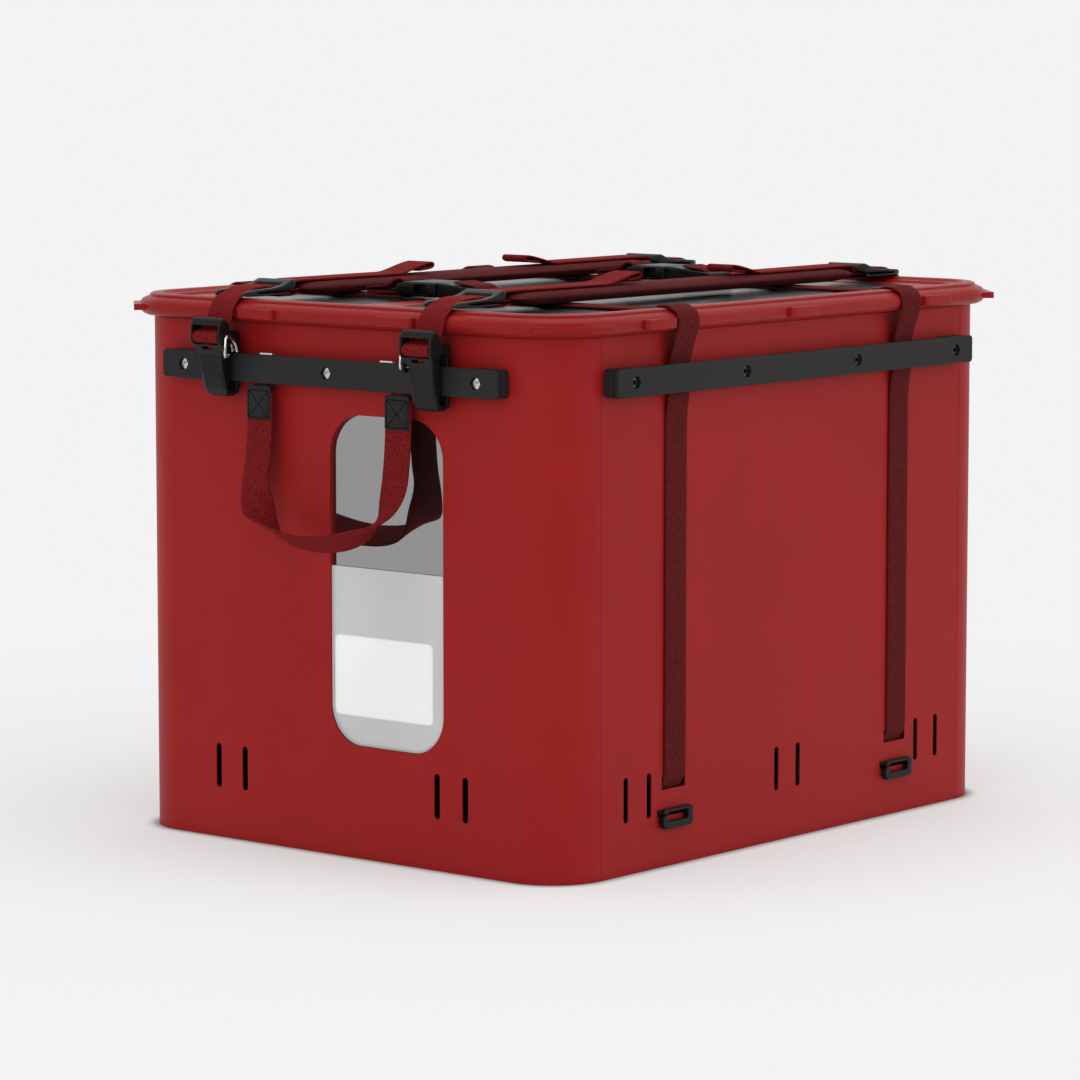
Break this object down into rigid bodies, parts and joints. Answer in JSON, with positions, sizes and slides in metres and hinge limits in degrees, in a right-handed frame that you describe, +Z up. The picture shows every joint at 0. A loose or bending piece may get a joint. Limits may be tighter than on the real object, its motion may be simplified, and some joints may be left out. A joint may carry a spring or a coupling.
{
  "type": "attached lid tote",
  "caption": "Soft-cornered strapped storage tote with a lift-off lid, end window, lashing rails, strap hooks and webbing handles.",
  "frame": {"origin": "centre of the base, on the surface it stands on", "axes": "+X along the long side, away from the window end; +Y across; +Z up"},
  "size_m": [0.5496, 0.417, 0.3878],
  "materials": {
    "body_red": "satin",
    "lid_red": "satin",
    "tray_black": "matte",
    "clear_sheet": "gloss",
    "smoked_sheet": "gloss",
    "card_white": "matte",
    "rail_black": "satin",
    "hook_black": "satin",
    "steel": "satin",
    "red_webbing": "woven",
    "tab_black": "woven",
    "seal_rubber": "matte",
    "buckle_black": "satin",
    "pad_fabric": "woven",
    "slider_grey": "satin"
  },
  "bodies": {
    "box": {"front_panel": "body_red", "back_panel": "body_red", "window_end_shell": "body_red", "plain_end_shell": "body_red", "base_tray": "tray_black", "top_collar": "body_red", "window_pane": "clear_sheet", "card_pocket": "clear_sheet", "plain_card": "card_white", "front_rail": "rail_black", "back_rail": "rail_black", "window_end_rail": "rail_black", "plain_end_rail": "rail_black", "rail_screws": "steel", "g_hook_window_front": "hook_black", "g_hook_window_back": "hook_black", "g_hook_plain_front": "hook_black", "g_hook_plain_back": "hook_black", "hook_window_front": "hook_black", "hook_window_back": "hook_black", "hook_plain_front": "hook_black", "hook_plain_back": "hook_black", "anchor_window_front": "steel", "anchor_window_back": "steel", "anchor_plain_front": "steel", "anchor_plain_back": "steel"},
    "gate_window_front": {"gate_window_front": "steel"},
    "gate_window_back": {"gate_window_back": "steel"},
    "gate_plain_front": {"gate_plain_front": "steel"},
    "gate_plain_back": {"gate_plain_back": "steel"},
    "handle_window": {"handle_webbing_window": "red_webbing", "tab_window_front": "tab_black", "tab_window_back": "tab_black"},
    "handle_plain": {"handle_webbing_plain": "red_webbing", "tab_plain_front": "tab_black", "tab_plain_back": "tab_black"},
    "lid": {"lid_shell": "lid_red", "lid_pane_front": "smoked_sheet", "lid_pane_back": "smoked_sheet", "lid_seal": "seal_rubber", "cross_strap_window_front": "red_webbing", "cross_strap_window_back": "red_webbing", "cross_strap_plain_front": "red_webbing", "cross_strap_plain_back": "red_webbing", "buckle_socket_window": "buckle_black", "buckle_socket_plain": "buckle_black", "pad_front": "pad_fabric", "pad_back": "pad_fabric", "slider_window_front": "slider_grey", "slider_window_back": "slider_grey", "slider_plain_front": "slider_grey", "slider_plain_back": "slider_grey", "hook_webbing_window_front": "red_webbing", "hook_webbing_window_back": "red_webbing", "hook_webbing_plain_front": "red_webbing", "hook_webbing_plain_back": "red_webbing"},
    "buckle_plug_window": {"buckle_plug_window": "buckle_black"},
    "buckle_plug_plain": {"buckle_plug_plain": "buckle_black"}
  },
  "joints": [
    {"name": "lid_lift", "type": "slide", "parent": "box", "child": "lid", "axis": [0, 0, 1], "range_m": [0, 0.12], "deforming": ["cross_strap_window_front", "cross_strap_window_back", "cross_strap_plain_front", "cross_strap_plain_back", "hook_webbing_window_front", "hook_webbing_window_back", "hook_webbing_plain_front", "hook_webbing_plain_back"]},
    {"name": "handle_window_swing", "type": "hinge", "parent": "box", "child": "handle_window", "pos_m": [-0.2534, 0, 0.31405], "axis": [0, 1, 0], "range_deg": [0, 100]},
    {"name": "handle_plain_swing", "type": "hinge", "parent": "box", "child": "handle_plain", "pos_m": [0.2534, 0, 0.31405], "axis": [0, -1, 0], "range_deg": [0, 100]},
    {"name": "gate_window_front_swing", "type": "hinge", "parent": "box", "child": "gate_window_front", "pos_m": [-0.2673, -0.0942, 0.33635], "axis": [0, 1, 0], "range_deg": [0, 30], "stiffness_Nm_per_rad": 0.05, "springref_deg": -8.59},
    {"name": "gate_window_back_swing", "type": "hinge", "parent": "box", "child": "gate_window_back", "pos_m": [-0.2673, 0.0942, 0.33635], "axis": [0, 1, 0], "range_deg": [0, 30], "stiffness_Nm_per_rad": 0.05, "springref_deg": -8.59},
    {"name": "gate_plain_front_swing", "type": "hinge", "parent": "box", "child": "gate_plain_front", "pos_m": [0.2673, -0.0942, 0.33635], "axis": [0, -1, 0], "range_deg": [0, 30], "stiffness_Nm_per_rad": 0.05, "springref_deg": -8.59},
    {"name": "gate_plain_back_swing", "type": "hinge", "parent": "box", "child": "gate_plain_back", "pos_m": [0.2673, 0.0942, 0.33635], "axis": [0, -1, 0], "range_deg": [0, 30], "stiffness_Nm_per_rad": 0.05, "springref_deg": -8.59},
    {"name": "buckle_plug_window_slide", "type": "slide", "parent": "lid", "child": "buckle_plug_window", "axis": [0, -1, 0], "range_m": [0, 0.025], "deforming": ["cross_strap_window_front"]},
    {"name": "buckle_plug_plain_slide", "type": "slide", "parent": "lid", "child": "buckle_plug_plain", "axis": [0, -1, 0], "range_m": [0, 0.025], "deforming": ["cross_strap_plain_front"]}
  ]
}
